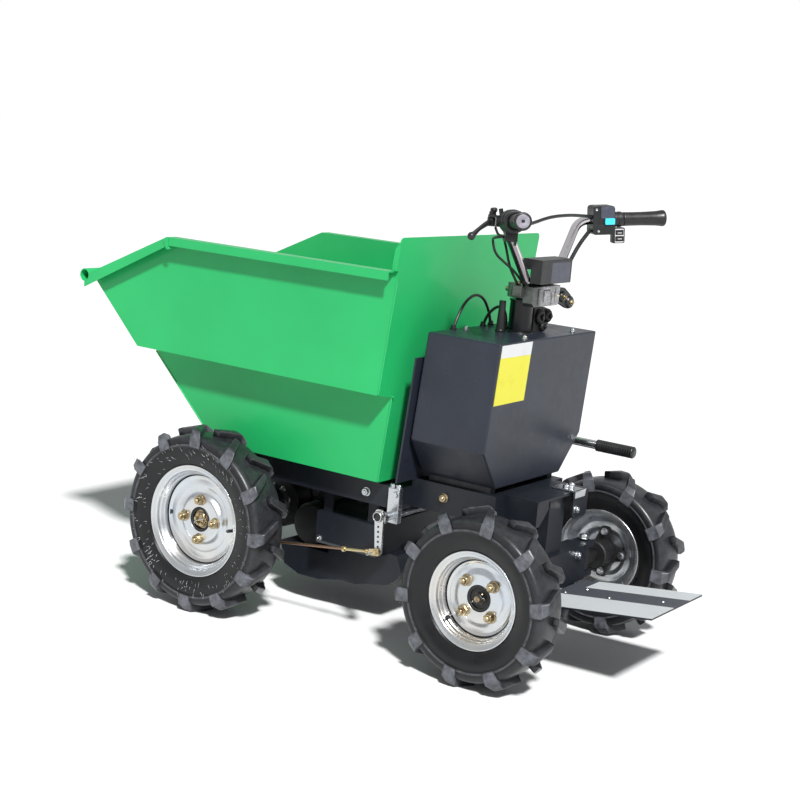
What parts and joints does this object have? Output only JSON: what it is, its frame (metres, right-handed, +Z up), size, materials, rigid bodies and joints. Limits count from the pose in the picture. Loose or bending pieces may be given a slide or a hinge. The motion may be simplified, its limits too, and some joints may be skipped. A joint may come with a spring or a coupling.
{
  "type": "site dumper",
  "caption": "Small four-wheeled battery site dumper with a front tipping skip, a rear control box, handlebar steering and a rear footplate.",
  "frame": {"origin": "on the ground, at the middle of the overall length and width", "axes": "+X forward towards the skip's lip, +Y to the machine's left, +Z up"},
  "size_m": [1.6138, 0.814, 1.0823],
  "materials": {
    "skip_paint": "gloss",
    "frame_paint": "satin",
    "box_paint": "satin",
    "zinc": "zinc plated",
    "zinc_yellow": "yellow zinc",
    "chrome": "polished",
    "tyre": "matt",
    "black_iron": "satin",
    "alloy": "cast",
    "black_plastic": "matt",
    "grip_rubber": "matt",
    "pad_rubber": "matt"
  },
  "bodies": {
    "chassis": {"battery_box": "frame_paint", "belly_tray": "frame_paint", "box_cables": "black_plastic", "box_feet": "frame_paint", "brake_plates": "frame_paint", "brake_rod": "zinc_yellow", "brake_shaft": "zinc", "bulkhead": "box_paint", "column_sleeve": "frame_paint", "control_box": "box_paint", "cross_members": "frame_paint", "drive_motor": "black_iron", "footplate": "frame_paint", "footplate_arms": "frame_paint", "front_axle": "black_iron", "hand_lever_grip": "grip_rubber", "hinge_tube": "frame_paint", "rear_axle": "frame_paint", "rear_frame": "frame_paint", "rear_latch": "zinc", "rear_post": "frame_paint", "shaft_brackets": "zinc", "side_rails": "frame_paint", "skip_rests": "pad_rubber", "spine_rails": "frame_paint"},
    "steering": {"brake_lever": "black_plastic", "brake_perch": "black_plastic", "grips": "grip_rubber", "handlebar": "chrome", "handlebar_cables": "black_plastic", "handlebar_cover": "black_plastic", "horn_housing": "black_plastic", "rocker_switch": "black_plastic", "side_bracket": "black_plastic", "steering_head": "alloy", "steering_shaft": "frame_paint", "throttle_housing": "black_plastic"},
    "front_left_wheel": {"front_left_hub": "black_iron", "front_left_rim": "zinc", "front_left_tyre": "tyre"},
    "front_right_wheel": {"front_right_hub": "black_iron", "front_right_rim": "zinc", "front_right_tyre": "tyre"},
    "knuckle_left": {"knuckle_left": "black_iron"},
    "knuckle_right": {"knuckle_right": "black_iron"},
    "skip": {"lip_tube": "skip_paint", "rim_flanges": "skip_paint", "skip_guard": "skip_paint", "skip_hinge_ears": "skip_paint", "skip_shell": "skip_paint"},
    "rear_left_wheel": {"rear_left_hub": "black_iron", "rear_left_rim": "zinc", "rear_left_tyre": "tyre"},
    "rear_right_wheel": {"rear_right_hub": "black_iron", "rear_right_rim": "zinc", "rear_right_tyre": "tyre"},
    "tie_rod_left": {"tie_rod_left": "zinc"},
    "tie_rod_right": {"tie_rod_right": "zinc"}
  },
  "joints": [
    {"name": "skip_tip", "type": "hinge", "parent": "chassis", "child": "skip", "pos_m": [0.41905, 0, 0.357], "axis": [0, 1, 0], "range_deg": [0, 75]},
    {"name": "steering_turn", "type": "hinge", "parent": "chassis", "child": "steering", "pos_m": [-0.32295, 0, 0.85], "axis": [0, 0, 1], "range_deg": [-30, 30]},
    {"name": "front_left_spin", "type": "hinge", "parent": "chassis", "child": "front_left_wheel", "pos_m": [0.31905, 0.35, 0.2312], "axis": [0, 1, 0], "continuous": true},
    {"name": "front_right_spin", "type": "hinge", "parent": "chassis", "child": "front_right_wheel", "pos_m": [0.31905, -0.35, 0.2312], "axis": [0, 1, 0], "continuous": true},
    {"name": "knuckle_left_turn", "type": "hinge", "parent": "chassis", "child": "knuckle_left", "pos_m": [-0.46095, 0.178, 0.207], "axis": [0, 0, 1], "range_deg": [-22, 22]},
    {"name": "rear_left_spin", "type": "hinge", "parent": "knuckle_left", "child": "rear_left_wheel", "pos_m": [-0.46095, 0.3, 0.207], "axis": [0, 1, 0], "continuous": true},
    {"name": "tie_rod_left_pivot", "type": "hinge", "parent": "steering", "child": "tie_rod_left", "pos_m": [-0.37295, 0.02, 0.188], "axis": [0, 0, 1], "range_deg": [-31, 31]},
    {"name": "knuckle_right_turn", "type": "hinge", "parent": "chassis", "child": "knuckle_right", "pos_m": [-0.46095, -0.178, 0.207], "axis": [0, 0, 1], "range_deg": [-22, 22]},
    {"name": "rear_right_spin", "type": "hinge", "parent": "knuckle_right", "child": "rear_right_wheel", "pos_m": [-0.46095, -0.3, 0.207], "axis": [0, 1, 0], "continuous": true},
    {"name": "tie_rod_right_pivot", "type": "hinge", "parent": "steering", "child": "tie_rod_right", "pos_m": [-0.37295, -0.02, 0.188], "axis": [0, 0, 1], "range_deg": [-31, 31]}
  ],
  "couplings": [
    {"joint": "knuckle_left_turn", "follows": "steering_turn", "ratio": -0.7143},
    {"joint": "tie_rod_left_pivot", "follows": "steering_turn", "ratio": -1},
    {"joint": "knuckle_right_turn", "follows": "steering_turn", "ratio": -0.7143},
    {"joint": "tie_rod_right_pivot", "follows": "steering_turn", "ratio": -1}
  ]
}
